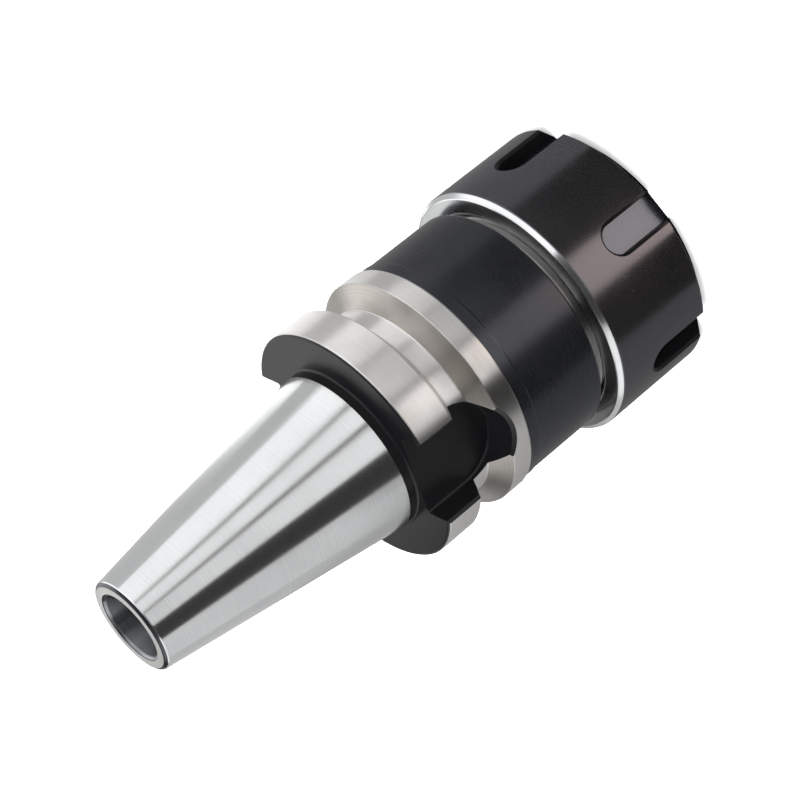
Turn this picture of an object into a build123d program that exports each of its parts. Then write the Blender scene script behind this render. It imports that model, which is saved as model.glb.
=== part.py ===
"""Collet chuck holder: a steep-taper shank with a gripper flange, a spring collet and its clamping nut."""

import os
from math import cos, hypot, radians, sin, sqrt, tan

from build123d import *

# Frame: the origin is the centre of the gauge plane, where the taper has its nominal diameter.
# The taper points up (+Z), the drive slots lie on the X axis, and a depth is measured down
# from the gauge plane. Lengths are in millimetres and angles in degrees.

# Taper shank
gauge_diameter = 31.75
taper_length = 48.4
taper_rate = 7 / 24
small_end_chamfer = 0.5
neck_relief = 0.125
neck_fillet = 0.45

# Draw-bar hole, from the small end down
pilot_diameter = 12.5
pilot_depth = 5.0
pilot_chamfer = 0.4
draw_thread_core = 10.2
draw_thread_length = 24.0
through_bore = 8.0

# Gripper flange
flange_depth = 2.0
flange_diameter = 46.0
flange_width = 20.0
flange_rear_chamfer = 0.35
flange_front_chamfer = 0.25
groove_centre_depth = 13.6
groove_floor_width = 3.5
groove_depth = 4.0
groove_angle = 60.0

# Drive slots
drive_slot_width = 16.1
drive_slot_land = 0.425
drive_slot_reach = 16.9
drive_slot_corner = 0.5
drive_slot_edge = 0.6

# Body
band_step = 0.15
band_width = 2.4
body_diameter = 45.0
body_chamfer = 0.3

# Nose and its thread
nose_depth = 53.6
nose_wall = 4.0
nose_chamfer = 1.0
nose_relief_width = 1.6
nose_relief_step = 0.4
thread_pitch = 1.5
thread_pitch_line = 0.6495
thread_clearance = 0.06

# Collet socket and the chamber behind it
socket_angle = 8.0
socket_run_out = 2.9
chamber_step = 1.0
chamber_length = 14.0
drill_point_angle = 118.0

# Collet
collet_length = 40.0
collet_rim = 0.5
collet_face_step = 3.0
collet_front_angle = 30.0
collet_land_width = 0.9
collet_groove_width = 3.5
collet_groove_depth = 2.2
collet_stand_off = 1.3
collet_rear_chamfer = 0.5
collet_clearance = 0.05
collet_face_wall = 7.5
tool_bore_chamfer = 0.5
slit_count = 8
slit_width = 1.0
slit_front_web = 7.0
slit_rear_web = 6.0

# Clamping nut
nut_diameter = 50.0
nut_wall = 5.0
nut_length = 23.7
nut_gap = 2.1
nut_back_chamfer = 0.85
nut_front_chamfer_length = 2.4
nut_front_chamfer_depth = 3.0
nut_mouth_lead = 1.7
nut_relief_width = 1.4
nut_relief_step = 0.8
nut_lip_width = 2.3
nut_lip_grip = 1.3
nut_lip_offset = 0.9
nut_lip_clearance = 0.5
nut_cavity_clearance = 0.25
nut_face_recess = 1.3
nut_opening_chamfer = 1.1

# Spanner slots in the nut
spanner_slot_count = 6
spanner_slot_width = 5.8
spanner_slot_length = 14.85
spanner_slot_depth = 3.4
spanner_slot_turn = -22.9
spanner_slot_edge = 0.55

# How near two places have to be to count as one
tolerance = 0.001

# Diameters worked out from the nut inwards: a wall lies between the nut and its thread, another
# between the thread and the collet's socket, and the collet's rim stands proud of that socket.
thread_diameter = nut_diameter - 2 * nut_wall
socket_diameter = thread_diameter - 2 * nose_wall
collet_diameter = socket_diameter + 2 * collet_rim

# Radii and slopes worked out from the sizes above; threads are plain at their pitch line
thread_radius = (thread_diameter - thread_pitch_line * thread_pitch) / 2
flange_radius = flange_diameter / 2
body_radius = body_diameter / 2
nut_radius = nut_diameter / 2
socket_slope = tan(radians(socket_angle))
collet_front_slope = tan(radians(collet_front_angle))

# Depths worked out from the nose face: the collet stands in its socket, the nut sits on the
# collet's front cone, and the body's shoulder stays clear of the back of the nut.
collet_cone_length = collet_face_step / collet_front_slope
groove_back_depth = nose_depth + collet_stand_off
groove_front_depth = groove_back_depth + collet_groove_width
land_front_depth = groove_front_depth + collet_land_width
collet_face_depth = land_front_depth + collet_cone_length
nut_front_depth = collet_face_depth + nut_face_recess
nut_back_depth = nut_front_depth - nut_length
shoulder_depth = nut_back_depth - nut_gap


def turned(outline, corner=None, corner_radius=0.0):
    """Solid turned about Z from an outline of (radius, height) points, with one corner rounded."""
    with BuildPart() as solid:
        with BuildSketch(Plane.XZ) as section:
            with BuildLine():
                Polyline(*outline, close=True)
            make_face()
            if corner:
                fillet(section.vertices().sort_by_distance((*corner, 0))[0], corner_radius)
        revolve(axis=Axis.Z)
    return solid.part


def rounded_pocket(floor, width, top, end, outer, corner_radius=0.0):
    """Tool path of an end mill that points along X: straight down from top, with a round end."""
    radius = width / 2
    with BuildPart() as pocket:
        with BuildSketch(Plane.YZ.offset(floor)):
            with Locations((0, (top + end + radius) / 2)):
                Rectangle(width, top - end - radius)
            with Locations((0, end + radius)):
                Circle(radius)
        extrude(amount=outer - floor)
        if corner_radius:
            fillet(pocket.faces().sort_by(Axis.X)[0].edges(), corner_radius)
    return pocket.part


def slot_rims(solid, rim_radius, half_width, turns):
    """Edges where the slots at these turns about Z break through the round face of rim_radius."""
    rims = []
    for edge in solid.edges():
        points = [edge @ place for place in (0, 0.5, 1)]
        on_rim = all(abs(hypot(point.X, point.Y) - rim_radius) < tolerance for point in points)
        if not on_rim or edge.bounding_box().size.Z < tolerance:
            continue
        for turn in turns:
            across = (cos(radians(turn)), sin(radians(turn)))
            inside = all(point.X * across[0] + point.Y * across[1] > 0 for point in points)
            aside = max(abs(point.Y * across[0] - point.X * across[1]) for point in points)
            if inside and tolerance < aside < half_width + tolerance:
                rims.append(edge)
    return rims


def make_holder_body():
    """Taper, flange, body and nose: one turned piece with two milled drive slots."""
    gauge_radius = gauge_diameter / 2
    neck_radius = gauge_radius - neck_relief
    small_radius = gauge_radius - taper_length * taper_rate / 2
    chamfer_radius = small_radius + small_end_chamfer * taper_rate / 2
    band_radius = body_radius + band_step
    flange_front = flange_depth + flange_width
    groove_radius = flange_radius - groove_depth
    groove_half_floor = groove_floor_width / 2
    groove_half_width = groove_half_floor + groove_depth * tan(radians(groove_angle / 2))
    nose_radius = thread_radius - thread_clearance / 2
    relief_radius = nose_radius - nose_relief_step

    collet_rear_depth = collet_face_depth - collet_length
    socket_end = collet_rear_depth - socket_run_out
    socket_end_radius = socket_diameter / 2 - (nose_depth - socket_end) * socket_slope
    chamber_radius = socket_end_radius - chamber_step
    chamber_end = socket_end - chamber_length
    drill_point_slope = tan(radians(drill_point_angle / 2))
    bore_radius = through_bore / 2
    bore_end = chamber_end - (chamber_radius - bore_radius) / drill_point_slope
    core_radius = draw_thread_core / 2
    pilot_radius = pilot_diameter / 2
    pilot_floor = taper_length - pilot_depth
    thread_end = pilot_floor - draw_thread_length

    outer = [
        (small_radius - small_end_chamfer, taper_length),
        (chamfer_radius, taper_length - small_end_chamfer),
        (gauge_radius, 0),
        (neck_radius, 0),
        (neck_radius, -flange_depth),
        (flange_radius - flange_rear_chamfer, -flange_depth),
        (flange_radius, -flange_depth - flange_rear_chamfer),
        (flange_radius, -groove_centre_depth + groove_half_width),
        (groove_radius, -groove_centre_depth + groove_half_floor),
        (groove_radius, -groove_centre_depth - groove_half_floor),
        (flange_radius, -groove_centre_depth - groove_half_width),
        (flange_radius, -flange_front + flange_front_chamfer),
        (flange_radius - flange_front_chamfer, -flange_front),
        (band_radius, -flange_front),
        (band_radius, -flange_front - band_width),
        (body_radius, -flange_front - band_width - band_step),
        (body_radius, -shoulder_depth + body_chamfer),
        (body_radius - body_chamfer, -shoulder_depth),
        (relief_radius, -shoulder_depth),
        (relief_radius, -shoulder_depth - nose_relief_width),
        (nose_radius, -shoulder_depth - nose_relief_width - nose_relief_step),
        (nose_radius, -nose_depth + nose_chamfer),
        (nose_radius - nose_chamfer, -nose_depth),
    ]
    inner = [
        (socket_diameter / 2, -nose_depth),
        (socket_end_radius, -socket_end),
        (chamber_radius, -socket_end),
        (chamber_radius, -chamber_end),
        (bore_radius, -bore_end),
        (bore_radius, thread_end - (core_radius - bore_radius) / drill_point_slope),
        (core_radius, thread_end),
        (core_radius, pilot_floor),
        (pilot_radius, pilot_floor),
        (pilot_radius, taper_length - pilot_chamfer),
        (pilot_radius + pilot_chamfer, taper_length),
    ]
    holder = turned(outer + inner, (neck_radius, -flange_depth), neck_fillet)

    slot = rounded_pocket(
        floor=gauge_radius + drive_slot_land,
        width=drive_slot_width,
        top=-flange_depth + drive_slot_width / 2,
        end=-flange_depth - drive_slot_reach,
        outer=flange_radius + groove_depth,
        corner_radius=drive_slot_corner,
    )
    turns = (0, 180)
    holder -= [Rot(0, 0, turn) * slot for turn in turns]
    return chamfer(slot_rims(holder, flange_radius, drive_slot_width / 2, turns), drive_slot_edge)


def make_collet():
    """Double-tapered spring collet, slit in turn from its front face and from its rear end."""
    land_radius = collet_diameter / 2
    face_radius = land_radius - collet_face_step
    groove_radius = land_radius - collet_groove_depth
    rear_depth = collet_face_depth - collet_length
    cone_offset = collet_clearance * sqrt(1 + socket_slope**2)
    cone_base = socket_diameter / 2 - cone_offset
    cone_front_radius = cone_base + collet_stand_off * socket_slope
    chamfer_depth = rear_depth + collet_rear_chamfer
    chamfer_radius = cone_base - (nose_depth - chamfer_depth) * socket_slope
    bore_radius = face_radius - collet_face_wall

    blank = turned([
        (face_radius, -collet_face_depth),
        (land_radius, -land_front_depth),
        (land_radius, -groove_front_depth),
        (groove_radius, -groove_front_depth),
        (groove_radius, -groove_back_depth),
        (cone_front_radius, -groove_back_depth),
        (chamfer_radius, -chamfer_depth),
        (chamfer_radius - collet_rear_chamfer, -rear_depth),
        (bore_radius, -rear_depth),
        (bore_radius, -collet_face_depth + tool_bore_chamfer),
        (bore_radius + tool_bore_chamfer, -collet_face_depth),
    ])

    front_slit_length = collet_length - slit_rear_web
    rear_slit_length = collet_length - slit_front_web
    front_slit = Pos(0, 0, -collet_face_depth + front_slit_length / 2) * Box(
        land_radius, slit_width, front_slit_length, align=(Align.MIN, Align.CENTER, Align.CENTER))
    rear_slit = Pos(0, 0, -rear_depth - rear_slit_length / 2) * Box(
        land_radius, slit_width, rear_slit_length, align=(Align.MIN, Align.CENTER, Align.CENTER))
    slit_step = 360 / slit_count
    slits = []
    for index in range(slit_count):
        slits.append(Rot(0, 0, index * slit_step) * front_slit)
        slits.append(Rot(0, 0, (index + 0.5) * slit_step) * rear_slit)
    return blank - slits


def make_clamping_nut():
    """Slotted round nut with a cone seat for the collet and an off-centre lip in its groove."""
    bore_radius = thread_radius + thread_clearance / 2
    relief_radius = bore_radius + nut_relief_step
    land_radius = collet_diameter / 2
    cavity_radius = land_radius + nut_cavity_clearance
    lip_front = groove_front_depth - nut_lip_clearance
    lip_back = lip_front - nut_lip_width
    lip_bore_radius = land_radius - nut_lip_grip + nut_lip_offset
    lip_blank_radius = lip_bore_radius - nut_lip_offset - nut_lip_grip

    # The seat is the collet's front cone moved outwards by the clearance.
    seat_offset = collet_clearance * sqrt(1 + collet_front_slope**2)
    seat_start = land_front_depth - (nut_cavity_clearance - seat_offset) / collet_front_slope
    opening_depth = nut_front_depth - nut_opening_chamfer
    opening_radius = land_radius + seat_offset - (opening_depth - land_front_depth) * collet_front_slope

    blank = turned([
        (nut_radius - nut_back_chamfer, -nut_back_depth),
        (nut_radius, -nut_back_depth - nut_back_chamfer),
        (nut_radius, -nut_front_depth + nut_front_chamfer_length),
        (nut_radius - nut_front_chamfer_depth, -nut_front_depth),
        (opening_radius + nut_opening_chamfer, -nut_front_depth),
        (opening_radius, -opening_depth),
        (cavity_radius, -seat_start),
        (cavity_radius, -lip_front),
        (lip_blank_radius, -lip_front),
        (lip_blank_radius, -lip_back),
        (relief_radius, -lip_back),
        (relief_radius, -lip_back + nut_relief_width),
        (bore_radius, -lip_back + nut_relief_width + nut_relief_step),
        (bore_radius, -nut_back_depth - nut_mouth_lead),
        (bore_radius + nut_mouth_lead, -nut_back_depth),
    ])
    lip_bore = Pos(nut_lip_offset, 0, -(lip_front + lip_back) / 2) * Cylinder(lip_bore_radius, nut_lip_width)

    slot = rounded_pocket(
        floor=nut_radius - spanner_slot_depth,
        width=spanner_slot_width,
        top=nut_front_depth + spanner_slot_width / 2,
        end=nut_front_depth - spanner_slot_length,
        outer=nut_radius + spanner_slot_depth,
    )
    # The pocket runs up along +Z, so it is turned over to open at the nut's front face.
    slot = Rot(180, 0, 0) * slot
    turns = [spanner_slot_turn + index * 360 / spanner_slot_count for index in range(spanner_slot_count)]
    nut = blank - lip_bore - [Rot(0, 0, turn) * slot for turn in turns]
    return chamfer(slot_rims(nut, nut_radius, spanner_slot_width / 2, turns), spanner_slot_edge)


os.makedirs("parts", exist_ok=True)
export_step(make_holder_body(), "parts/holder_body.step")
export_step(make_collet(), "parts/collet.step")
export_step(make_clamping_nut(), "parts/clamping_nut.step")
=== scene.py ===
"""Collet chuck holder: ground taper, turned flange, black oxide body and nut, slit collet and cut threads."""

import logging
from collections.abc import Mapping, Sequence
from dataclasses import dataclass, field
from enum import Enum
from math import cos, pi, radians, sin, tan

import bmesh
import bpy
import numpy as np
from mathutils import Matrix, Vector


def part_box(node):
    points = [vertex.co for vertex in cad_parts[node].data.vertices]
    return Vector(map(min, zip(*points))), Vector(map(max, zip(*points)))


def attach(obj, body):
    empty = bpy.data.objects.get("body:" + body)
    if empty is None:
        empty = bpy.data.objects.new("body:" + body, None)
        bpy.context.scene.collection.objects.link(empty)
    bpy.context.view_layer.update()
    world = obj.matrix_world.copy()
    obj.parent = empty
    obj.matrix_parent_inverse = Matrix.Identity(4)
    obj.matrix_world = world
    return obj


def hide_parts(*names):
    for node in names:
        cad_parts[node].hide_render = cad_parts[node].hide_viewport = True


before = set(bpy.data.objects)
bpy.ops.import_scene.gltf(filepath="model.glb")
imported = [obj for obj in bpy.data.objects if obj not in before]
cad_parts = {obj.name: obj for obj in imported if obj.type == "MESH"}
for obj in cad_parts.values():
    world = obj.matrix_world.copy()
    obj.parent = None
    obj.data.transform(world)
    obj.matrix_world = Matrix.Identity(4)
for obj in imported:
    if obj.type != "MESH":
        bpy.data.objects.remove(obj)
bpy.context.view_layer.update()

log = logging.getLogger("collet_chuck_holder")

# Sizes are in millimetres in the part's own frame. A depth is measured down from the gauge plane,
# so a point's height is minus its depth.
MM = 0.001  # one millimetre in metres
EDGE_BREAK = 0.12  # flat that every machined corner gets
SHARP_TURN = radians(20)  # faces that meet at more than this stay crisp
SHORT_EDGE_SHARE = 0.3  # most of a short edge that a broken corner takes
WELD = 0.0002  # points closer than this are one point
TAPER = 7 / 24  # growth of the steep taper's diameter along its length
NUT_PITCH = 1.5  # pitch of the thread that joins nose and nut
LINE_SHARE = 0.6  # weight of a finish's tool lines against its broad patches
UV_NAME = "tool_path"  # u runs along the turned profile, v round the axis
UV_RADIUS = 20.0  # radius at which v is measured


def linear(hex_colour: str) -> tuple[float, float, float, float]:
    """Turns an sRGB hex colour into the linear colour that shader sockets take.

    Args:
        hex_colour: Colour as "#rrggbb".

    Returns:
        Linear red, green and blue, and full opacity.
    """
    srgb = np.array([int(hex_colour[i:i + 2], 16) for i in (1, 3, 5)]) / 255
    channels = np.where(srgb <= 0.04045, srgb / 12.92, ((srgb + 0.055) / 1.055) ** 2.4)
    return (*channels.tolist(), 1.0)


def add_node(
    tree: bpy.types.NodeTree,
    kind: str,
    settings: Mapping[str | int, object] | None = None,
    links: Mapping[str | int, bpy.types.NodeSocket] | None = None,
) -> bpy.types.Node:
    """Adds a node, sets its properties and socket values, and links its sockets.

    Args:
        tree: Node tree that the node goes into.
        kind: Blender's name for the node's type.
        settings: Values by property name, or by the name or number of an input socket.
        links: Sockets that feed the node, by the name or number of its input.

    Returns:
        The new node.
    """
    node = tree.nodes.new(kind)
    for key, value in (settings or {}).items():
        if isinstance(key, str) and key in node.bl_rna.properties:
            setattr(node, key, value)
        else:
            node.inputs[key].default_value = value
    for key, source in (links or {}).items():
        tree.links.new(source, node.inputs[key])
    return node


def blank_material(name: str) -> bpy.types.Material:
    """Makes a material with an empty node tree.

    Args:
        name: Name of the material.

    Returns:
        The new material.
    """
    made = bpy.data.materials.new(name)
    made.use_nodes = True
    made.node_tree.nodes.clear()
    return made


def grid_quads(rows: int, columns: int) -> np.ndarray:
    """Joins the neighbouring points of a grid to quads.

    Args:
        rows: Number of rows of points.
        columns: Number of points in a row.

    Returns:
        Corner numbers of each quad.
    """
    index = np.arange(rows * columns).reshape(rows, columns)
    corners = [index[:-1, :-1], index[1:, :-1], index[1:, 1:], index[:-1, 1:]]
    return np.stack(corners, axis=-1).reshape(-1, 4)


@dataclass(frozen=True)
class SteelFinish:
    """Machined steel whose fine tool lines run as rings round the axis.

    The lines are one-dimensional noise along the turned profile, so they are true rings. They tint the
    colour, roughen the gloss and lift the surface. The gloss is stretched along the profile, as lines
    across it do on the real part. Real tool lines lie under 0.1 mm apart, too fine for a picture, so the
    spacings here are drawn a few times coarser.
    """

    name: str
    colour: str
    line_colour: str
    metallic: float
    roughness: float
    roughness_spread: float
    anisotropy: float
    line_spacing: float
    line_depth: float
    patch_size: float = 9.0
    ior: float = 1.5
    sheen: str = "#ffffff"

    def material(self) -> bpy.types.Material:
        """Builds the finish as a procedural material, once.

        Returns:
            The material with this finish's name.
        """
        made = bpy.data.materials.get(self.name)
        if made:
            return made
        made = blank_material(self.name)
        tree = made.node_tree
        uv = add_node(tree, "ShaderNodeUVMap", {"uv_map": UV_NAME})
        along = add_node(tree, "ShaderNodeSeparateXYZ", links={0: uv.outputs[0]})
        lines = add_node(
            tree, "ShaderNodeTexNoise",
            {"noise_dimensions": "1D", "Scale": 1 / self.line_spacing, "Detail": 4.0, "Roughness": 0.65},
            {"W": along.outputs["X"]})
        place = add_node(tree, "ShaderNodeTexCoord")
        patches = add_node(
            tree, "ShaderNodeTexNoise", {"Scale": 1 / (self.patch_size * MM), "Detail": 3.0},
            {"Vector": place.outputs["Object"]})
        blend = add_node(
            tree, "ShaderNodeMath", {"operation": "MULTIPLY_ADD", 1: LINE_SHARE},
            {0: lines.outputs[0], 2: patches.outputs[0]})
        share = add_node(
            tree, "ShaderNodeMapRange", {"From Min": 0.45, "From Max": 1.15}, {"Value": blend.outputs[0]})
        colour = add_node(
            tree, "ShaderNodeMix",
            {"data_type": "RGBA", 6: linear(self.colour), 7: linear(self.line_colour)},
            {0: share.outputs[0]})
        gloss = add_node(
            tree, "ShaderNodeMapRange",
            {"To Min": self.roughness - self.roughness_spread,
             "To Max": self.roughness + self.roughness_spread},
            {"Value": share.outputs[0]})
        relief = add_node(
            tree, "ShaderNodeBump", {"Strength": 1.0, "Distance": self.line_depth * MM},
            {"Height": lines.outputs[0]})
        tangent = add_node(tree, "ShaderNodeTangent", {"direction_type": "UV_MAP", "uv_map": UV_NAME})
        shader = add_node(
            tree, "ShaderNodeBsdfPrincipled",
            {"Metallic": self.metallic, "Anisotropic": self.anisotropy, "IOR": self.ior,
             "Specular Tint": linear(self.sheen)},
            {"Base Color": colour.outputs[2], "Roughness": gloss.outputs[0], "Normal": relief.outputs[0],
             "Tangent": tangent.outputs[0]})
        add_node(tree, "ShaderNodeOutputMaterial", links={"Surface": shader.outputs[0]})
        return made


class Finish(Enum):
    """The finishes of the chuck's surfaces, each named for the real material, and one for the painted shade
    of the groove.
    """

    # Hardened steel, ground: a bright mirror drawn out along the taper, with lines too fine to feel.
    GROUND = SteelFinish(
        "ground_hardened_steel", "#d6d7d8", "#c8c9ca", 1.0, 0.19, 0.03, 0.6, 0.35, 0.0004)
    # Bare turned steel on the flange and the nose: a pale grey with clear rings left by the lathe tool.
    TURNED = SteelFinish(
        "turned_bare_steel", "#e3e2e1", "#cbc9c6", 1.0, 0.36, 0.06, 0.95, 0.3, 0.002)
    # Faced steel at the small end: as pale, with marks that run every way and spread the light evenly.
    FACED = SteelFinish(
        "faced_bare_steel", "#e0e0df", "#cbcac8", 1.0, 0.46, 0.05, 0.1, 0.4, 0.002)
    # Bored steel inside the holes: darker and duller, as it is left from the drill and the tap.
    BORED = SteelFinish(
        "bored_steel", "#8f9092", "#6b6c6e", 0.85, 0.28, 0.04, 0.4, 0.4, 0.001)
    # Reamed steel at the mouth of the draw-bar hole: rings that throw the light along the hole in streaks.
    REAMED = SteelFinish(
        "reamed_steel", "#b0b2b6", "#8c8e92", 1.0, 0.33, 0.03, 0.97, 0.4, 0.001)
    # Turned steel on the far flank of the gripper groove: darker and browner than the lands, as painted shade
    # of the groove.
    GROOVE_SHADE = SteelFinish(
        "turned_steel_groove_shade", "#c1bcb7", "#a5a09a", 1.0, 0.36, 0.06, 0.95, 0.3, 0.002)
    # Black oxide on the turned body: a thin magnetite film, near black under a soft glassy sheen.
    BLACK = SteelFinish(
        "black_oxide_body", "#0c0d0f", "#121315", 0.0, 0.28, 0.03, 0.25, 0.3, 0.0004, ior=1.72,
        sheen="#eef2ff")
    # Black oxide on the brushed nut: the same film over coarser lines, with a harder shine.
    NUT_BLACK = SteelFinish(
        "black_oxide_nut", "#0e0d0d", "#171413", 0.0, 0.25, 0.03, 0.4, 0.25, 0.0006, ior=2.3,
        sheen="#f3f5ff")
    # Black oxide in the milled slots and on the flange's rear face: duller, as the cutter leaves it rougher.
    MILLED = SteelFinish(
        "black_oxide_milled", "#0b0b0d", "#111113", 0.0, 0.32, 0.03, 0.2, 0.5, 0.0004, ior=1.35)
    # Black oxide on the floors of the spanner slots: a colder, glassier grey off the end of the mill.
    MILL_END = SteelFinish(
        "black_oxide_slot_floor", "#0d0e10", "#141517", 0.0, 0.27, 0.03, 0.2, 0.5, 0.0004, ior=2.5,
        sheen="#dfedff")


def finish_numbers(
    finishes: Sequence[Finish], choices: Sequence[tuple[np.ndarray, Finish]], otherwise: Finish,
) -> np.ndarray:
    """Gives each place the first finish whose test it meets.

    Args:
        finishes: Finishes of the piece, in order.
        choices: Tests of the places, each with its finish.
        otherwise: Finish of the places that meet no test.

    Returns:
        Number of each place's finish.
    """
    tests, chosen = zip(*choices)
    return np.select(tests, [finishes.index(finish) for finish in chosen], finishes.index(otherwise))


def profile_lengths(radius: np.ndarray, depth: np.ndarray) -> np.ndarray:
    """Adds up the steps along a profile.

    Args:
        radius: Radius of each point of the profile.
        depth: Depth of each point of the profile.

    Returns:
        Length of the profile from its first point to each of its points.
    """
    return np.concatenate([[0.0], np.cumsum(np.hypot(np.diff(radius), np.diff(depth)))])


def eased(outline: Sequence[tuple[float, float]], size: float = EDGE_BREAK) -> np.ndarray:
    """Breaks every crisp corner of a closed outline with a small flat.

    Each corner becomes two points, one on either side of it at the given distance along its two edges,
    or at under a third of a short edge. A corner that hardly turns, as along an arc, stays one point.

    Args:
        outline: Corners as (radius, depth), in order; the last joins the first.
        size: Distance from a corner to either end of its flat.

    Returns:
        Points of the eased outline as an array of (radius, depth).
    """
    corner = np.array(outline, float)
    arriving = corner - np.roll(corner, 1, axis=0)
    leaving = np.roll(corner, -1, axis=0) - corner
    arrived = np.linalg.norm(arriving, axis=1, keepdims=True)
    left = np.linalg.norm(leaving, axis=1, keepdims=True)
    arriving, leaving = arriving / arrived, leaving / left
    straight = np.sum(arriving * leaving, axis=1, keepdims=True) > cos(SHARP_TURN)
    flat = np.where(straight, 0.0, np.minimum(size, SHORT_EDGE_SHARE * np.minimum(arrived, left)))
    points = np.stack([corner - arriving * flat, corner + leaving * flat], axis=1).reshape(-1, 2)
    kept = np.linalg.norm(points - np.roll(points, 1, axis=0), axis=1) > WELD
    return points[kept]


@dataclass
class Rows:
    """Rings of a turned surface: each has a radius, a depth, an off-centre shift and a cut half angle."""

    radius: np.ndarray
    depth: np.ndarray
    shift: np.ndarray
    cut: np.ndarray

    @classmethod
    def plain(cls, outline: np.ndarray, shift: np.ndarray | float = 0.0) -> "Rows":
        """Rings with no slot through them, from (radius, depth) points."""
        count = len(outline)
        return cls(outline[:, 0], outline[:, 1], np.zeros(count) + shift, np.zeros(count))

    def joined(self, *others: "Rows") -> "Rows":
        """These rings followed by those of the others."""
        sets = (self, *others)
        return Rows(*(np.concatenate([getattr(s, name) for s in sets])
                      for name in ("radius", "depth", "shift", "cut")))

    def turned_over(self) -> "Rows":
        """The same rings in the opposite order."""
        return Rows(self.radius[::-1], self.depth[::-1], self.shift[::-1], self.cut[::-1])

    def middles(self) -> tuple[np.ndarray, np.ndarray]:
        """Radius and depth half way between each ring and the next."""
        return (self.radius[1:] + self.radius[:-1]) / 2, (self.depth[1:] + self.depth[:-1]) / 2

    def sectors(self, turns: Sequence[float], columns: int) -> list[tuple[np.ndarray, np.ndarray]]:
        """Carries the rings round the axis, in one sector from each slot to the next.

        A point's angle runs evenly from one slot's rim to the next one's, so its place is the ring's
        radius times the cosine and sine of that angle, at the ring's height.

        Args:
            turns: Angles of the slots' middles, in degrees, in order.
            columns: Number of steps round each sector.

        Returns:
            Points and surface coordinates of each sector, with rings as rows.
        """
        span = 2 * pi / len(turns)
        share = np.linspace(0, 1, columns + 1)
        along = profile_lengths(self.radius, self.depth)[:, None]
        made = []
        for turn in turns:
            angle = radians(turn) + self.cut[:, None] + (span - 2 * self.cut[:, None]) * share
            points = np.stack([
                self.shift[:, None] + self.radius[:, None] * np.cos(angle),
                self.radius[:, None] * np.sin(angle),
                np.broadcast_to(-self.depth[:, None], angle.shape)], axis=-1)
            made.append((points, np.stack([np.broadcast_to(along, angle.shape), UV_RADIUS * angle], axis=-1)))
        return made


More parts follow.
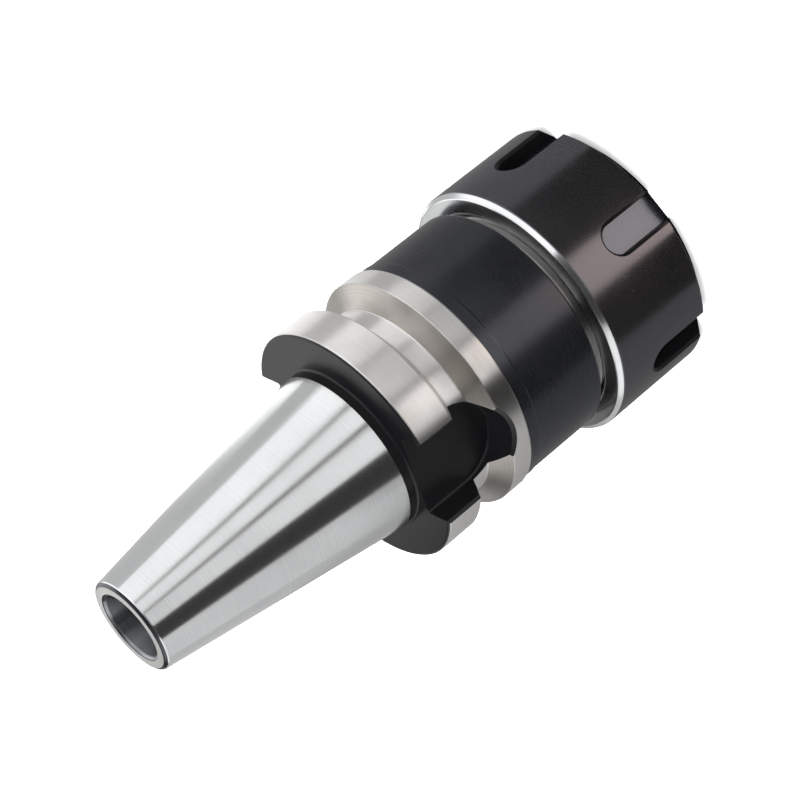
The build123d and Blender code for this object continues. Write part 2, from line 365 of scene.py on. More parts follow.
@dataclass(frozen=True)
class MilledSlot:
    """Slot cut by an end mill that points at the axis: open at one face and round at its other end."""

    width: float
    reach: float
    floor: float
    rim_radius: float
    corner: float
    edge: float
    face_depth: float
    heading: int
    turns: tuple[float, ...]
    edge_steps: int = 3
    wall_steps: int = 4
    corner_steps: int = 5
    floor_steps: int = 8
    end_steps: int = 24

    @property
    def half(self) -> float:
        """Half the slot's width, which is also the radius of its round end."""
        return self.width / 2

    def past(self, travel: np.ndarray) -> np.ndarray:
        """How far a place along the slot lies beyond the centre of its round end."""
        return np.maximum(travel - (self.reach - self.half), 0.0)

    def rim(self, radius: np.ndarray, travel: np.ndarray) -> np.ndarray:
        """Half width of the slot at its chamfered rim, from the circle of the widened round end."""
        edge = np.maximum(self.edge - (self.rim_radius - radius), 0.0)
        return np.sqrt(np.maximum((self.half + edge) ** 2 - self.past(travel) ** 2, 0.0))

    def section(self, radius: np.ndarray, travel: np.ndarray) -> tuple[np.ndarray, np.ndarray]:
        """Half sections across the slot, from its rim down the wall and along the floor to the middle.

        The chamfer drops by as much as it comes nearer to the slot's outline. Below it the wall is
        upright, a quarter circle joins it to the floor, and the floor is flat. In the round end the wall
        stands where the circle of the mill is.

        Args:
            radius: Radius of the turned surface at each section.
            travel: Distance of each section from the open face.

        Returns:
            Distance from the axis and distance aside of each point, with sections as rows.
        """
        past = self.past(travel)[:, None]
        edge = np.maximum(self.edge - (self.rim_radius - radius), 0.0)[:, None]
        top = self.rim(radius, travel)[:, None]
        wall = np.sqrt(np.maximum(self.half ** 2 - past ** 2, 0.0))
        corner = np.minimum(self.corner, wall)

        aside_edge = top + (wall - top) * np.linspace(0, 1, self.edge_steps + 1)
        nearer = np.maximum(self.half + edge - np.hypot(aside_edge, past), 0.0)
        out_edge = np.sqrt(radius[:, None] ** 2 - aside_edge ** 2) - nearer
        wall_top = out_edge[:, -1:]
        out_wall = wall_top + (self.floor + corner - wall_top) * np.linspace(0, 1, self.wall_steps + 1)
        bend = np.linspace(0, pi / 2, self.corner_steps + 1)
        out_corner = self.floor + corner * (1 - np.sin(bend))
        aside_corner = wall - corner * (1 - np.cos(bend))
        aside_floor = (wall - corner) * np.linspace(1, 0, self.floor_steps + 1)
        out = np.concatenate([
            out_edge, out_wall[:, 1:], out_corner[:, 1:],
            np.full_like(aside_floor, self.floor)[:, 1:]], axis=1)
        aside = np.concatenate([
            aside_edge, np.broadcast_to(wall, out_wall.shape)[:, 1:], aside_corner[:, 1:],
            aside_floor[:, 1:]], axis=1)
        return out, aside

    def cut_rows(self, outline: np.ndarray, shift: np.ndarray) -> tuple[Rows, Rows]:
        """Cuts the slot into the rings of a closed outline that meets the open face and then the rim.

        Between the open face and the end of the slot the rings are set closer, so that they follow the
        round end, and each gets the half angle of the slot's rim. On the open face they pass through the
        points of the slot's own section.

        Args:
            outline: Points as (radius, depth), in the order that crosses the open face outwards.
            shift: Off-centre shift of each point.

        Returns:
            All rings of the outline, and those of them that run along the slot.
        """
        travel = self.heading * (outline[:, 1] - self.face_depth)
        face = np.flatnonzero(np.abs(travel) < WELD)[-1]
        end = face + np.flatnonzero(travel[face:] > self.reach + self.edge)[0]
        round_end = (self.half + self.edge) * np.sin(np.linspace(0, pi / 2, self.end_steps + 1))
        stops = np.concatenate([
            travel[face:end], np.linspace(0, self.reach - self.half, self.wall_steps),
            self.reach - self.half + round_end, [self.reach]])
        stops = np.unique(np.round(stops, 6))
        radius = np.interp(stops, travel[face:end + 1], outline[face:end + 1, 0])
        along = Rows(
            radius, self.face_depth + self.heading * stops, np.zeros(len(stops)),
            np.arcsin(self.rim(radius, stops) / radius))
        out, aside = self.section(radius[:1], stops[:1])
        out, aside = out[0, :0:-1], aside[0, :0:-1]
        on_face = Rows(
            np.hypot(out, aside), np.full(len(out), self.face_depth), np.zeros(len(out)),
            np.arctan2(aside, out))
        before = Rows.plain(outline[:face], shift[:face])
        after = Rows.plain(outline[end:], shift[end:])
        return before.joined(on_face, along, after), along

    def linings(self, along: Rows) -> list[tuple[np.ndarray, np.ndarray, np.ndarray]]:
        """Walls, floor and chamfer of every slot, as grids of sections.

        Past the tip of the round end only the chamfer is left, so that part is a grid of its own.

        Args:
            along: Rings that run along the slot.

        Returns:
            Points and surface coordinates of each grid, and which of its quads lie on the floor.
        """
        travel = self.heading * (along.depth - self.face_depth)
        tip = int(np.argmin(np.abs(travel - self.reach)))
        out, aside = self.section(along.radius, travel)
        grids = []
        for rows, points in ((slice(0, tip + 1), out.shape[1]), (slice(tip, None), self.edge_steps + 1)):
            across = np.concatenate([-aside[rows, :points], aside[rows, points - 2::-1]], axis=1)
            away = np.concatenate([out[rows, :points], out[rows, points - 2::-1]], axis=1)
            depth = np.broadcast_to(along.depth[rows, None], across.shape)
            lengths = np.concatenate([
                np.zeros((len(across), 1)),
                np.cumsum(np.hypot(np.diff(across, axis=1), np.diff(away, axis=1)), axis=1)], axis=1)
            coordinates = np.stack([depth, lengths], axis=-1)
            low = away < self.floor + WELD
            on_floor = low[:-1, :-1] & low[:-1, 1:]
            for turn in self.turns:
                c, s = cos(radians(turn)), sin(radians(turn))
                grids.append((
                    np.stack([away * c - across * s, away * s + across * c, -depth], axis=-1),
                    coordinates, on_floor))
        return grids


@dataclass(frozen=True)
class ThreadRidge:
    """Ridge of a right-hand thread: a trapezium carried along a helix."""

    pitch: float
    root_radius: float
    crest_radius: float
    crest_width: float
    root_width: float
    start_depth: float
    end_depth: float
    fade: float
    phase: float = 0.0
    sink: float = 0.1
    steps: int = 96

    def grid(self) -> tuple[np.ndarray, np.ndarray]:
        """Carries the section up the helix.

        The angle grows evenly and the height grows by one pitch a turn. At both ends the crest fades into
        the root, and the last section shrinks to a point.

        Returns:
            Points and surface coordinates, with places along the helix as rows.
        """
        turns = (self.end_depth - self.start_depth) / self.pitch
        turned = np.linspace(0, turns, int(turns * self.steps) + 1)
        outwards = 1 if self.crest_radius > self.root_radius else -1
        buried = self.root_radius - outwards * self.sink
        level = np.array(
            [buried, self.root_radius, self.crest_radius, self.crest_radius, self.root_radius, buried])
        root, crest = self.root_width / 2, self.crest_width / 2
        aside = np.array([-root, -root, -crest, crest, root, root])
        level, aside = (np.append(a, a[0])[::outwards] for a in (level, aside))

        depth = self.end_depth - self.pitch * turned
        limit = np.interp(
            depth,
            [self.start_depth, self.start_depth + self.fade, self.end_depth - self.fade, self.end_depth],
            [buried, self.crest_radius, self.crest_radius, buried])
        trim = np.minimum if outwards > 0 else np.maximum
        radius = trim(level, limit[:, None])
        width = np.ones(len(turned))
        width[[0, -1]] = 0.0
        angle = (self.phase + 2 * pi * turned)[:, None]
        points = np.stack([
            radius * np.cos(angle), radius * np.sin(angle), aside * width[:, None] - depth[:, None]], axis=-1)
        across = np.broadcast_to(profile_lengths(level, aside), radius.shape)
        return points, np.stack([across, np.broadcast_to(UV_RADIUS * angle, radius.shape)], axis=-1)


@dataclass
class Surface:
    """Grids of points that are gathered and welded into one closed mesh."""

    name: str
    finishes: tuple[Finish, ...]
    points: list[np.ndarray] = field(default_factory=list)
    coordinates: list[np.ndarray] = field(default_factory=list)
    quads: list[np.ndarray] = field(default_factory=list)
    worn: list[np.ndarray] = field(default_factory=list)
    count: int = 0

    def add(self, points: np.ndarray, coordinates: np.ndarray, finish: np.ndarray | int) -> None:
        """Adds one grid, whose neighbouring points become quads.

        Args:
            points: Places in millimetres, of shape (rows, columns, 3).
            coordinates: Surface coordinates in millimetres, of shape (rows, columns, 2).
            finish: Number of each quad's finish, of a shape that spreads to (rows - 1, columns - 1).
        """
        rows, columns = points.shape[:2]
        self.points.append(points.reshape(-1, 3))
        self.coordinates.append(coordinates.reshape(-1, 2))
        self.quads.append(self.count + grid_quads(rows, columns))
        self.worn.append(np.broadcast_to(finish, (rows - 1, columns - 1)).reshape(-1))
        self.count += rows * columns

    def make(self, body: str, slot: str, *replaced: str) -> bpy.types.Object:
        """Welds the grids and puts the piece into the scene.

        Args:
            body: Body that the piece moves with.
            slot: Material slot of the record that the piece stands for; not used.
            replaced: CAD nodes that it stands for.

        Returns:
            The finished object.
        """
        quads = np.concatenate(self.quads)
        mesh = bpy.data.meshes.new(self.name)
        mesh.from_pydata(np.concatenate(self.points) * MM, [], quads)
        layer = mesh.uv_layers.new(name=UV_NAME)
        layer.data.foreach_set("uv", np.concatenate(self.coordinates)[quads.ravel()].ravel())
        mesh.polygons.foreach_set("material_index", np.concatenate(self.worn).astype(np.int32))
        for finish in self.finishes:
            mesh.materials.append(finish.value.material())

        shape = bmesh.new()
        shape.from_mesh(mesh)
        bmesh.ops.remove_doubles(shape, verts=shape.verts, dist=WELD * MM)
        bmesh.ops.dissolve_degenerate(shape, edges=shape.edges, dist=WELD * MM)
        shape.to_mesh(mesh)
        shape.free()
        mesh.shade_smooth()
        mesh.set_sharp_from_angle(angle=SHARP_TURN)

        piece = bpy.data.objects.new(self.name, mesh)
        bpy.context.scene.collection.objects.link(piece)
        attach(piece, body)
        if replaced:
            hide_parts(*replaced)
        log.info("%s: %d faces on body %s", self.name, len(mesh.polygons), body)
        return piece


@dataclass
class TaperHolder:
    """The turned holder: taper, gripper flange with drive slots, body, threaded nose and its bores."""

    gauge_radius: float = 15.875
    top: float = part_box("holder_body")[1].z / MM
    nose_depth: float = -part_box("holder_body")[0].z / MM
    flange_radius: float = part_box("holder_body")[1].x / MM
    small_chamfer: float = 0.5
    neck_radius: float = 15.75
    neck_fillet: float = 0.45
    fillet_steps: int = 6
    flange_depth: float = 2.0
    flange_front: float = 22.0
    slot_rise: float = 0.425
    rear_chamfer: float = 0.35
    front_chamfer: float = 0.25
    groove_radius: float = 19.0
    groove_centre: float = 13.6
    groove_floor: float = 3.5
    groove_angle: float = 60.0
    band_radius: float = 22.65
    band_width: float = 2.4
    body_radius: float = 22.5
    body_chamfer: float = 0.3
    shoulder: float = 39.996
    nose_core: float = 19.06
    nose_end_radius: float = 18.483
    socket_radius: float = 16.0
    socket_end: tuple[float, float] = (11.502, 21.596)
    chamber_radius: float = 10.502
    chamber_end: float = 7.596
    bore_radius: float = 4.0
    bore_ends: tuple[float, float] = (3.689, -18.739)
    tap_depths: tuple[float, float] = (-19.4, -43.4)
    tap_radius: float = 6.05
    tap_core: float = 5.1
    pilot_radius: float = 6.25
    pilot_chamfer: float = 0.4
    columns: int = 128
    finishes: tuple[Finish, ...] = (
        Finish.GROUND, Finish.TURNED, Finish.BLACK, Finish.MILLED, Finish.BORED, Finish.FACED, Finish.REAMED,
        Finish.GROOVE_SHADE)

    @property
    def half_mouth(self) -> float:
        """Half the gripper groove's width at the flange's rim."""
        groove_depth = self.flange_radius - self.groove_radius
        return self.groove_floor / 2 + groove_depth * tan(radians(self.groove_angle / 2))

    def drive_slot(self) -> MilledSlot:
        """The two drive slots, open at the flange's rear face."""
        return MilledSlot(
            width=16.1, reach=16.9, floor=self.gauge_radius + self.slot_rise, rim_radius=self.flange_radius,
            corner=0.5, edge=0.6, face_depth=self.flange_depth, heading=1, turns=(0.0, 180.0))

    def outline(self) -> np.ndarray:
        """Closed outline of the turned piece, down its outside and up its bores.

        Returns:
            Points as an array of (radius, depth).
        """
        small_radius = self.gauge_radius - self.top * TAPER / 2
        half_floor = self.groove_floor / 2
        bend = np.linspace(0, pi / 2, self.fillet_steps + 1)
        fillet = list(zip(
            self.neck_radius + self.neck_fillet * (1 - np.cos(bend)),
            self.flange_depth - self.neck_fillet * (1 - np.sin(bend))))
        band_end = self.flange_front + self.band_width
        outer = [
            (small_radius - self.small_chamfer, -self.top),
            (small_radius + self.small_chamfer * TAPER / 2, -self.top + self.small_chamfer),
            (self.gauge_radius, 0.0),
            (self.neck_radius, 0.0),
            *fillet,
            (self.flange_radius - self.rear_chamfer, self.flange_depth),
            (self.flange_radius, self.flange_depth + self.rear_chamfer),
            (self.flange_radius, self.groove_centre - self.half_mouth),
            (self.groove_radius, self.groove_centre - half_floor),
            (self.groove_radius, self.groove_centre + half_floor),
            (self.flange_radius, self.groove_centre + self.half_mouth),
            (self.flange_radius, self.flange_front - self.front_chamfer),
            (self.flange_radius - self.front_chamfer, self.flange_front),
            (self.band_radius, self.flange_front),
            (self.band_radius, band_end),
            (self.body_radius, band_end + self.band_radius - self.body_radius),
            (self.body_radius, self.shoulder - self.body_chamfer),
            (self.body_radius - self.body_chamfer, self.shoulder),
            (self.nose_core, self.shoulder),
            (self.nose_core, self.nose_depth - (self.nose_core - self.nose_end_radius)),
            (self.nose_end_radius, self.nose_depth),
        ]
        inner = [
            (self.socket_radius, self.nose_depth),
            self.socket_end,
            (self.chamber_radius, self.socket_end[1]),
            (self.chamber_radius, self.chamber_end),
            (self.bore_radius, self.bore_ends[0]),
            (self.bore_radius, self.bore_ends[1]),
            (self.tap_core, self.tap_depths[0]),
            (self.tap_radius, self.tap_depths[0] - (self.tap_radius - self.tap_core)),
            (self.tap_radius, self.tap_depths[1]),
            (self.pilot_radius, self.tap_depths[1]),
            (self.pilot_radius, -self.top + self.pilot_chamfer),
            (self.pilot_radius + self.pilot_chamfer, -self.top),
        ]
        return eased(outer + inner)

    def finish_at(self, radius: np.ndarray, depth: np.ndarray) -> np.ndarray:
        """Number of the finish at each place of the outline.

        Args:
            radius: Radius of each place.
            depth: Depth of each place.

        Returns:
            Index into the finishes.
        """
        inside = (radius < self.pilot_radius + self.pilot_chamfer) | (
            (radius <= self.chamber_radius + EDGE_BREAK) & (depth > 0))
        socket = (radius <= self.socket_radius) & (depth > self.chamber_end)
        rear_face = depth < self.flange_depth + self.rear_chamfer
        lands = (depth < self.flange_front) & (radius > self.groove_radius - EDGE_BREAK)
        flank = (depth > self.groove_centre + self.groove_floor / 2) & (
            depth < self.groove_centre + self.half_mouth)
        return finish_numbers(self.finishes, (
            (inside & (depth < self.tap_depths[1]), Finish.REAMED),
            (inside, Finish.BORED),
            (depth < -self.top + WELD, Finish.FACED),
            (depth < -self.top + self.small_chamfer, Finish.BLACK),
            ((depth < 0) | socket, Finish.GROUND),
            (rear_face, Finish.MILLED),
            # Painted shade: the far flank of the gripper groove takes a darker, browner turned finish.
            (lands & flank, Finish.GROOVE_SHADE),
            (lands | (depth > self.shoulder + WELD), Finish.TURNED),
        ), Finish.BLACK)

    def build(self) -> list[bpy.types.Object]:
        """Makes the holder and its two threads.

        Returns:
            The new pieces.
        """
        slot = self.drive_slot()
        outline = self.outline()
        rows, along = slot.cut_rows(outline, np.zeros(len(outline)))
        closed = rows.joined(Rows.plain(outline[:1]))
        shell = Surface("taper_holder", self.finishes)
        finish = self.finish_at(*closed.middles())[:, None]
        for points, coordinates in closed.sectors(slot.turns, self.columns):
            shell.add(points, coordinates, finish)
        for points, coordinates, _ in slot.linings(along):
            shell.add(points, coordinates, self.finishes.index(Finish.MILLED))

        nose = ThreadRidge(
            pitch=NUT_PITCH, root_radius=self.nose_core, crest_radius=19.96, crest_width=0.19, root_width=1.2,
            start_depth=self.shoulder + 1.4, end_depth=self.nose_depth - 0.3, fade=1.1)
        nose_thread = Surface("nose_thread", (Finish.TURNED,))
        nose_thread.add(*nose.grid(), 0)
        tap = ThreadRidge(
            pitch=1.75, root_radius=self.tap_radius, crest_radius=self.tap_core, crest_width=0.42,
            root_width=1.5, start_depth=self.tap_depths[1] + 0.1, end_depth=self.tap_depths[0] - 0.9,
            fade=0.9)
        tap_thread = Surface("draw_bar_thread", (Finish.BORED,))
        tap_thread.add(*tap.grid(), 0)
        return [
            shell.make("holder", "holder_steel", "holder_body"),
            nose_thread.make("holder", "holder_steel"),
            tap_thread.make("holder", "holder_steel"),
        ]


@dataclass
class ClampingNut:
    """The slotted round nut, with its thread, its off-centre lip and the seat for the collet."""

    radius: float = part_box("clamping_nut")[1].x / MM
    back: float = -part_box("clamping_nut")[1].z / MM
    front: float = -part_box("clamping_nut")[0].z / MM
    back_chamfer: float = 0.85
    front_chamfer: tuple[float, float] = (3.0, 2.4)
    mouth_radius: float = 21.243
    thread_root: float = 20.05
    relief_radius: float = 20.343
    relief_end: float = 54.2
    lip_back: float = 55.6
    lip_front: float = 57.9
    lip_radius: float = 16.0
    lip_shift: float = 0.7
    cavity_radius: float = 16.75
    seat_start: float = 58.967
    opening_radius: float = 13.443
    opening_chamfer: float = 1.1
    slots: int = 6
    first_slot: float = -22.9
    slot_cut: float = 3.4
    columns: int = 44
    finishes: tuple[Finish, ...] = (
        Finish.NUT_BLACK, Finish.GROUND, Finish.BORED, Finish.MILLED, Finish.MILL_END)

    def spanner_slot(self) -> MilledSlot:
        """The six spanner slots, open at the nut's front face."""
        return MilledSlot(
            width=5.8, reach=14.85, floor=self.radius - self.slot_cut, rim_radius=self.radius, corner=0.15,
            edge=0.55, face_depth=self.front, heading=-1,
            turns=tuple(self.first_slot + 360 / self.slots * number for number in range(self.slots)))

    def outline(self) -> np.ndarray:
        """Closed outline of the nut, across its back, down its outside and up its inside.

        Returns:
            Points as an array of (radius, depth).
        """
        in_by, down_by = self.front_chamfer
        return eased([
            (self.mouth_radius, self.back),
            (self.radius - self.back_chamfer, self.back),
            (self.radius, self.back + self.back_chamfer),
            (self.radius, self.front - down_by),
            (self.radius - in_by, self.front),
            (self.opening_radius + self.opening_chamfer, self.front),
            (self.opening_radius, self.front - self.opening_chamfer),
            (self.cavity_radius, self.seat_start),
            (self.cavity_radius, self.lip_front),
            (self.lip_radius, self.lip_front),
            (self.lip_radius, self.lip_back),
            (self.relief_radius, self.lip_back),
            (self.relief_radius, self.relief_end),
            (self.thread_root, self.relief_end - (self.relief_radius - self.thread_root)),
            (self.thread_root, self.back + self.mouth_radius - self.thread_root),
        ])

    def finish_at(self, radius: np.ndarray, depth: np.ndarray) -> np.ndarray:
        """Number of the finish at each place: bare on the back and inside, black elsewhere.

        Args:
            radius: Radius of each place.
            depth: Depth of each place.

        Returns:
            Index into the finishes.
        """
        near_back = depth < self.back + self.back_chamfer - EDGE_BREAK
        back = near_back & (radius > self.mouth_radius - EDGE_BREAK)
        inside = (radius < self.relief_radius + EDGE_BREAK) & (depth < self.front - EDGE_BREAK)
        return finish_numbers(
            self.finishes, ((back, Finish.GROUND), (inside, Finish.BORED)), Finish.NUT_BLACK)

    def build(self) -> list[bpy.types.Object]:
        """Makes the nut and its thread.

        Returns:
            The new pieces.
        """
        slot = self.spanner_slot()
        outline = self.outline()[::-1]
        on_lip = (outline[:, 0] < self.lip_radius + 2 * EDGE_BREAK) & (outline[:, 1] < self.lip_front + WELD)
        shift = np.where(on_lip, self.lip_shift, 0.0)
        rows, along = slot.cut_rows(outline, shift)
        closed = rows.joined(Rows.plain(outline[:1], shift[:1])).turned_over()
        shell = Surface("spanner_nut", self.finishes)
        finish = self.finish_at(*closed.middles())[:, None]
        for points, coordinates in closed.sectors(slot.turns, self.columns):
            shell.add(points, coordinates, finish)
        floor, wall = (self.finishes.index(kind) for kind in (Finish.MILL_END, Finish.MILLED))
        for points, coordinates, on_floor in slot.linings(along):
            shell.add(points[::-1], coordinates[::-1], np.where(on_floor[::-1], floor, wall))

        inside = ThreadRidge(
            pitch=NUT_PITCH, root_radius=self.thread_root, crest_radius=19.2, crest_width=0.34,
            root_width=1.26, start_depth=self.back + 1.0, end_depth=self.relief_end - 0.2, fade=0.9,
            phase=pi)
        thread = Surface("nut_thread", (Finish.BORED,))
        thread.add(*inside.grid(), 0)
        return [shell.make("nut", "nut_steel", "clamping_nut"), thread.make("nut", "nut_steel")]


@dataclass
class SpringCollet:
    """The double-taper collet, slit in turn from its rear end and its front face so that it can close."""

    rear: float = -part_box("collet")[1].z / MM
    front: float = -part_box("collet")[0].z / MM
    rear_radius: float = 11.929
    rear_chamfer: float = 0.5
    cone_front: tuple[float, float] = (16.132, 54.9)
    groove_radius: float = 14.3
    land_radius: float = 16.5
    land: tuple[float, float] = (58.4, 59.3)
    face_radius: float = 13.5
    bore_radius: float = 6.0
    bore_chamfer: float = 0.5
    slit_width: float = 1.0
    slits: int = 16
    front_slit_end: float = 30.496
    rear_slit_end: float = 57.496
    slit_tip: float = 0.05
    step_lean: float = 0.02
    columns: int = 8
    finishes: tuple[Finish, ...] = (Finish.GROUND, Finish.BORED)

    def outline(self) -> np.ndarray:
        """Closed outline of the blank, down its outside and up its bore.

        The walls of the groove lean a hair, so that every depth has one outer radius.

        Returns:
            Points as an array of (radius, depth).
        """
        return eased([
            (self.rear_radius - self.rear_chamfer, self.rear),
            (self.rear_radius, self.rear + self.rear_chamfer),
            self.cone_front,
            (self.groove_radius, self.cone_front[1] + self.step_lean),
            (self.groove_radius, self.land[0] - self.step_lean),
            (self.land_radius, self.land[0]),
            (self.land_radius, self.land[1]),
            (self.face_radius, self.front),
            (self.bore_radius + self.bore_chamfer, self.front),
            (self.bore_radius, self.front - self.bore_chamfer),
            (self.bore_radius, self.rear),
        ])

    def build(self) -> bpy.types.Object:
        """Makes the collet from the strips between its slits.

        Every depth has a point outside and one in the bore. An edge of a strip keeps half a slit's width
        from the slit's middle plane, which at a radius is the angle whose sine is that half width over
        the radius. A slit closes to a line at its tip. Flat walls join the outer edges to the inner ones.

        Returns:
            The new piece.
        """
        outline = self.outline()
        outside = outline[:, 0] > (self.bore_radius + self.rear_radius) / 2
        outer, bore = outline[outside], outline[~outside][::-1]
        tips = [self.front_slit_end - self.slit_tip, self.front_slit_end,
                self.rear_slit_end, self.rear_slit_end + self.slit_tip]
        stops = np.unique(np.concatenate([outer[:, 1], bore[:, 1], tips]))
        radius = np.stack([np.interp(stops, side[:, 1], side[:, 0]) for side in (outer, bore)], axis=1)
        depth = np.stack([stops, stops], axis=1)
        half = np.arcsin(self.slit_width / 2 / radius)
        slits = (
            (np.where(depth >= self.front_slit_end, half, 0.0), stops >= tips[0]),
            (np.where(depth <= self.rear_slit_end, half, 0.0), stops <= tips[-1]),
        )

        shell = Surface("spring_collet", self.finishes)
        share = np.linspace(0, 1, self.columns + 1)
        span = 2 * pi / self.slits

        def place(distance: np.ndarray, angle: np.ndarray, down: np.ndarray) -> np.ndarray:
            """Points at a distance from the axis, an angle round it and a depth."""
            return np.stack(np.broadcast_arrays(
                distance * np.cos(angle), distance * np.sin(angle), -down), axis=-1)

        def ring(values: np.ndarray) -> np.ndarray:
            """Values down the outside, up the bore and back to the first."""
            return np.concatenate([values[:, 0], values[::-1, 1], values[:1, 0]])

        skin = Rows.plain(np.stack([ring(radius), ring(depth)], axis=1))
        ground, bored = (self.finishes.index(kind) for kind in (Finish.GROUND, Finish.BORED))
        in_bore = skin.middles()[0] < self.bore_radius + self.bore_chamfer / 2
        worn = np.where(in_bore, bored, ground)[:, None]
        along = profile_lengths(skin.radius, skin.depth)[:, None]
        for number in range(self.slits):
            first, last = slits[number % 2], slits[1 - number % 2]
            start, end = span * number + first[0], span * (number + 1) - last[0]
            angle = ring(start)[:, None] + ring(end - start)[:, None] * share
            shell.add(
                place(skin.radius[:, None], angle, skin.depth[:, None]),
                np.stack(np.broadcast_arrays(along, UV_RADIUS * angle), axis=-1), worn)
            for edge, rows, order in ((start, first[1], -1), (end, last[1], 1)):
                shell.add(
                    place(radius[rows], edge[rows], depth[rows])[:, ::order],
                    np.stack([radius[rows], depth[rows]], axis=-1)[:, ::order], bored)
        return shell.make("collet", "collet_steel", "collet")


@dataclass(frozen=True)
class ReflectorCard:
    """Card that only shows in the steel: it catches the mirror rays of one stretch of the round surface.

    A ray from the camera that meets the cylinder at an angle leaves it at twice that angle, so a card that
    lies along those rays shows as a straight band on the part.
    """

    name: str
    start: float
    end: float
    level: float
    span: tuple[float, float]
    distance: float | None = None
    lean: float = 0.0
    mirror_radius: float = 25.0
    height: float = 0.05
    colour: str = "#ffffff"
    rows: int = 9
    columns: int = 25

    def grid(self, camera_azimuth: float, floor_depth: float) -> np.ndarray:
        """Spreads the card along the mirror rays.

        A point is the place on the cylinder plus a distance along its mirror ray. A lying card spans a
        stretch of that distance. An upright one stands at one distance, spans a stretch of height and may
        lean sideways.

        Args:
            camera_azimuth: Angle of the camera round the axis, in degrees.
            floor_depth: Depth of the floor.

        Returns:
            Points in millimetres, with angles as columns.
        """
        step = np.linspace(0, 1, self.rows)[:, None]
        angle = np.radians(np.linspace(self.start, self.end, self.columns) + self.lean * step)
        turn = radians(camera_azimuth)
        stretch = self.span[0] + (self.span[1] - self.span[0]) * step
        reach, lift = (stretch, self.height) if self.distance is None else (self.distance, stretch)
        return np.stack(np.broadcast_arrays(
            self.mirror_radius * np.cos(turn + angle) + reach * np.cos(turn + 2 * angle),
            self.mirror_radius * np.sin(turn + angle) + reach * np.sin(turn + 2 * angle),
            lift - floor_depth), axis=-1)


def card_ring(
    name: str, span: tuple[float, float], distance: float | None, start: float,
    *cards: tuple[str, float, float],
) -> tuple[ReflectorCard, ...]:
    """Sets cards side by side round the part, each from the end of the last.

    Args:
        name: First word of the cards' names.
        span: Stretch that each of them spans.
        distance: Distance at which they stand, or None where they lie.
        start: Angle at which the first one starts.
        cards: Last words of each card's name, the angle at which it ends, and its level.

    Returns:
        The cards in order.
    """
    starts = (start, *(end for _, end, _ in cards))
    return tuple(
        ReflectorCard(f"{name}_{side}", begin, end, level, span, distance)
        for begin, (side, end, level) in zip(starts, cards))


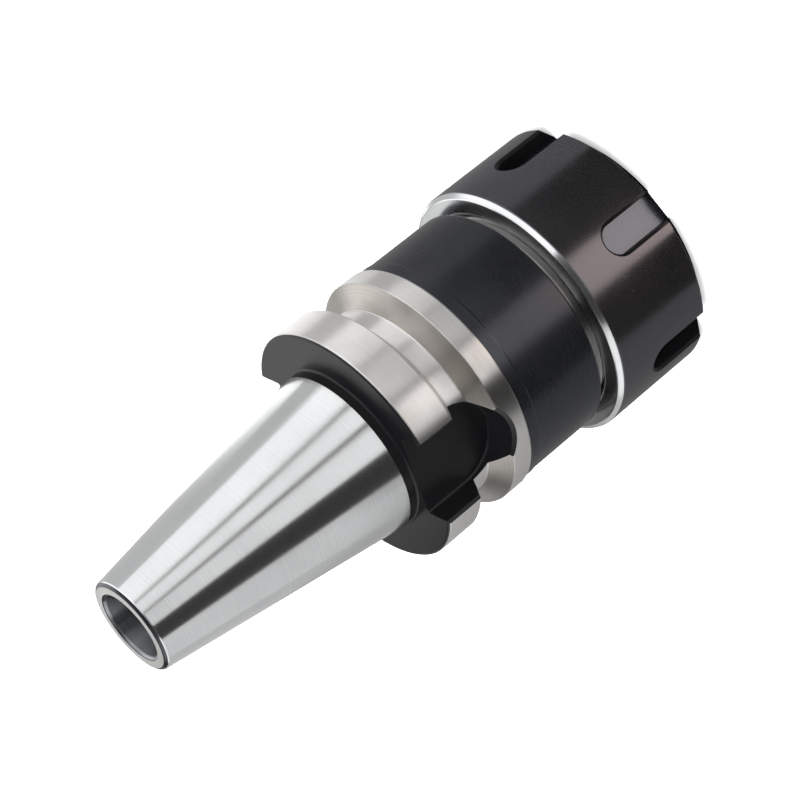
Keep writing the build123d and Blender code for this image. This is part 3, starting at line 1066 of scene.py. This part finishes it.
@dataclass
class Studio:
    """White sweep, soft lights and the camera that took the picture."""

    floor_depth: float = -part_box("clamping_nut")[0].z / MM
    camera_azimuth: float = 38.633
    camera_elevation: float = 24.387
    camera_roll: float = 128.93
    camera_distance: float = 448.6
    aim: tuple[float, float, float] = (-0.744, 0.931, -14.394)
    lens: float = 117.58
    sensor: float = 36.0
    cards: tuple[ReflectorCard, ...] = (
        # Lying round the nut, mirrored by the nut and the body.
        *card_ring("near", (0, 118), None, -88, ("far_right", -37, 0.28), ("right", -13.4, 0.03)),
        ReflectorCard("near_front_nut", -13.4, 4.5, 1.75, (0, 50), colour="#ffe9de"),
        ReflectorCard("near_front_body", -13.4, 4.5, 0.9, (50, 118)),
        *card_ring("near", (0, 118), None, 4.5, ("left", 36, 0.04), ("far_left", 88, 0.34)),
        # Black disc under the nut, seen only in the steel: painted shade where the nut covers the floor.
        ReflectorCard("under_nut_painted_shade", -90, 90, 0.0, (0, 25), mirror_radius=0),
        # Lying farther out, mirrored by the flange.
        *card_ring(
            "mid", (118, 300), None, -88, ("far_right", -39.5, 0.48), ("right", -13.4, 0.03),
            ("front", 1.8, 1.95), ("strip", 5.2, 0.0), ("front_left", 22.5, 1.7), ("strip_left", 25.5, 0.1),
            ("left", 46, 1.8), ("side_left", 60, 0.7), ("far_left", 88, 1.7)),
        # Standing low, mirrored by the taper.
        *card_ring(
            "low", (0, 130), 300, -90, ("far_right", -60, 0.66), ("right", -32, 0.82), ("flag", -13.8, 0.05),
            ("front", 4, 1.02), ("front_left", 19, 1.16), ("left", 43, 1.34), ("far_left", 90, 0.66)),
        ReflectorCard("strip_front", 5.2, 8.0, 0.0, (0, 110), 290, -4.5),
        ReflectorCard("strip_left", 21.2, 24.0, 0.0, (0, 110), 290, -6.5),
        # Standing high and overhead, mirrored by the chamfers and the faces that look up.
        *card_ring(
            "high", (130, 420), 300, -90, ("far_right", -70, 0.05), ("right", -32, 1.3), ("flag", -14, 0.08),
            ("front", 3, 0.35), ("front_left", 19, 1.0), ("left", 78, 1.6), ("back", 90, 0.95)),
        ReflectorCard("back_left", 72, 90, 1.35, (260, 620), 290),
        ReflectorCard("back_right", -90, -82, 0.35, (300, 620), 290),
        ReflectorCard("ceiling", -90, 90, 0.05, (0, 520), mirror_radius=0, height=640),
        ReflectorCard("ceiling_left", 12, 41, 1.7, (300, 520), mirror_radius=0, height=635),
        ReflectorCard("ceiling_right", -75, -50, 1.3, (130, 500), mirror_radius=0, height=635),
    )
    key_azimuth: float = -7.0
    key_elevation: float = 55.0
    key_distance: float = 800.0
    key_size: float = 700.0
    key_power: float = 16.0
    floor_reach: float = 4000.0

    def direction(self, azimuth: float, elevation: float) -> Vector:
        """Unit vector towards a place round the object, from its azimuth and elevation in degrees."""
        a, e = radians(azimuth), radians(elevation)
        return Vector((cos(a) * cos(e), sin(a) * cos(e), sin(e)))

    def camera(self) -> None:
        """Sets the camera, which looks at the aim and is rolled about its view."""
        back = self.direction(self.camera_azimuth, self.camera_elevation)
        level_right = Vector((0, 0, 1)).cross(back).normalized()
        level_up = back.cross(level_right)
        roll = radians(self.camera_roll)
        right = level_right * cos(roll) - level_up * sin(roll)
        up = level_up * cos(roll) + level_right * sin(roll)
        place = Vector(self.aim) * MM + back * self.camera_distance * MM
        data = bpy.data.cameras.new("camera")
        data.lens = self.lens
        data.sensor_width = self.sensor
        data.clip_start, data.clip_end = 0.01, 20
        camera = bpy.data.objects.new("camera", data)
        camera.matrix_world = Matrix.Translation(place) @ Matrix((right, up, back)).transposed().to_4x4()
        bpy.context.scene.collection.objects.link(camera)
        bpy.context.scene.camera = camera

    def key_light(self) -> None:
        """Hangs a soft square light over the camera, which lights the floor and shows in no mirror ray."""
        data = bpy.data.lights.new("key", "AREA")
        data.shape = "RECTANGLE"
        data.size = data.size_y = self.key_size * MM
        data.energy = self.key_power
        back = self.direction(self.camera_azimuth + self.key_azimuth, self.key_elevation)
        facing = back.to_track_quat("Z", "Y").to_matrix().to_4x4()
        light = bpy.data.objects.new("key", data)
        light.matrix_world = Matrix.Translation(back * self.key_distance * MM) @ facing
        light.visible_glossy = False
        bpy.context.scene.collection.objects.link(light)

    def reflectors(self) -> None:
        """Stands the reflector cards round the part, seen by glossy rays alone."""
        for card in self.cards:
            points = card.grid(self.camera_azimuth, self.floor_depth)
            mesh = bpy.data.meshes.new(card.name)
            mesh.from_pydata(points.reshape(-1, 3) * MM, [], grid_quads(card.rows, card.columns))
            made = blank_material(card.name)
            tree = made.node_tree
            glow = add_node(
                tree, "ShaderNodeEmission", {"Color": linear(card.colour), "Strength": card.level})
            add_node(tree, "ShaderNodeOutputMaterial", links={"Surface": glow.outputs[0]})
            mesh.materials.append(made)
            board = bpy.data.objects.new(card.name, mesh)
            board.visible_camera = board.visible_diffuse = board.visible_shadow = False
            board.visible_transmission = False
            bpy.context.scene.collection.objects.link(board)

    def seen(self, tree: bpy.types.NodeTree) -> bpy.types.NodeSocket:
        """Tells the rays that show the backdrop from those that light the part.

        Args:
            tree: Node tree of the floor or the world.

        Returns:
            Socket that is 1 for camera, glossy and transmission rays and 0 for others.
        """
        path = add_node(tree, "ShaderNodeLightPath")
        mirrored = add_node(
            tree, "ShaderNodeMath", {"operation": "MAXIMUM"},
            {0: path.outputs["Is Glossy Ray"], 1: path.outputs["Is Transmission Ray"]})
        shown = add_node(
            tree, "ShaderNodeMath", {"operation": "MAXIMUM"},
            {0: path.outputs["Is Camera Ray"], 1: mirrored.outputs[0]})
        return shown.outputs[0]

    def floor(self) -> None:
        """Lays a white floor that keeps a soft shadow and still meets the white behind it."""
        reach = self.floor_reach * MM
        mesh = bpy.data.meshes.new("floor")
        corner = [(-reach, -reach), (reach, -reach), (reach, reach), (-reach, reach)]
        mesh.from_pydata([(x, y, -self.floor_depth * MM) for x, y in corner], [], [(0, 1, 2, 3)])
        made = blank_material("white_paper_sweep")
        tree = made.node_tree
        place = add_node(tree, "ShaderNodeTexCoord")
        away = add_node(tree, "ShaderNodeVectorMath", {"operation": "LENGTH"}, {0: place.outputs["Object"]})
        fill = add_node(
            tree, "ShaderNodeMapRange",
            {"interpolation_type": "SMOOTHSTEP", "From Min": 0.2, "From Max": 1.2,
             "To Min": 0.5, "To Max": 1.0},
            {"Value": away.outputs["Value"]})
        lift = add_node(
            tree, "ShaderNodeMath", {"operation": "MULTIPLY"}, {0: self.seen(tree), 1: fill.outputs[0]})
        glow = add_node(
            tree, "ShaderNodeEmission", {"Color": linear("#ffffff")}, {"Strength": lift.outputs[0]})
        paper = add_node(tree, "ShaderNodeBsdfDiffuse", {"Color": linear("#f2f2f2")})
        both = add_node(tree, "ShaderNodeAddShader", links={0: glow.outputs[0], 1: paper.outputs[0]})
        add_node(tree, "ShaderNodeOutputMaterial", links={"Surface": both.outputs[0]})
        mesh.materials.append(made)
        floor = bpy.data.objects.new("floor", mesh)
        bpy.context.scene.collection.objects.link(floor)

    def world(self) -> None:
        """Fills the surroundings with faint soft light, and shows them white."""
        world = bpy.data.worlds.new("studio")
        world.use_nodes = True
        tree = world.node_tree
        tree.nodes.clear()
        soft = add_node(tree, "ShaderNodeBackground", {"Color": linear("#efe8e0"), "Strength": 0.07})
        white = add_node(tree, "ShaderNodeBackground", {"Color": linear("#ffffff"), "Strength": 1.0})
        mix = add_node(
            tree, "ShaderNodeMixShader",
            links={0: self.seen(tree), 1: soft.outputs[0], 2: white.outputs[0]})
        add_node(tree, "ShaderNodeOutputWorld", links={"Surface": mix.outputs[0]})
        bpy.context.scene.world = world

    def build(self) -> None:
        """Sets the stage."""
        self.camera()
        self.floor()
        self.world()
        self.reflectors()
        self.key_light()
        bpy.context.scene.view_settings.view_transform = "Standard"


def main() -> None:
    """Builds the chuck's sub-assemblies and the studio."""
    logging.basicConfig(level=logging.INFO, format="%(message)s")
    TaperHolder().build()
    ClampingNut().build()
    SpringCollet().build()
    Studio().build()


if __name__ == "__main__":
    main()
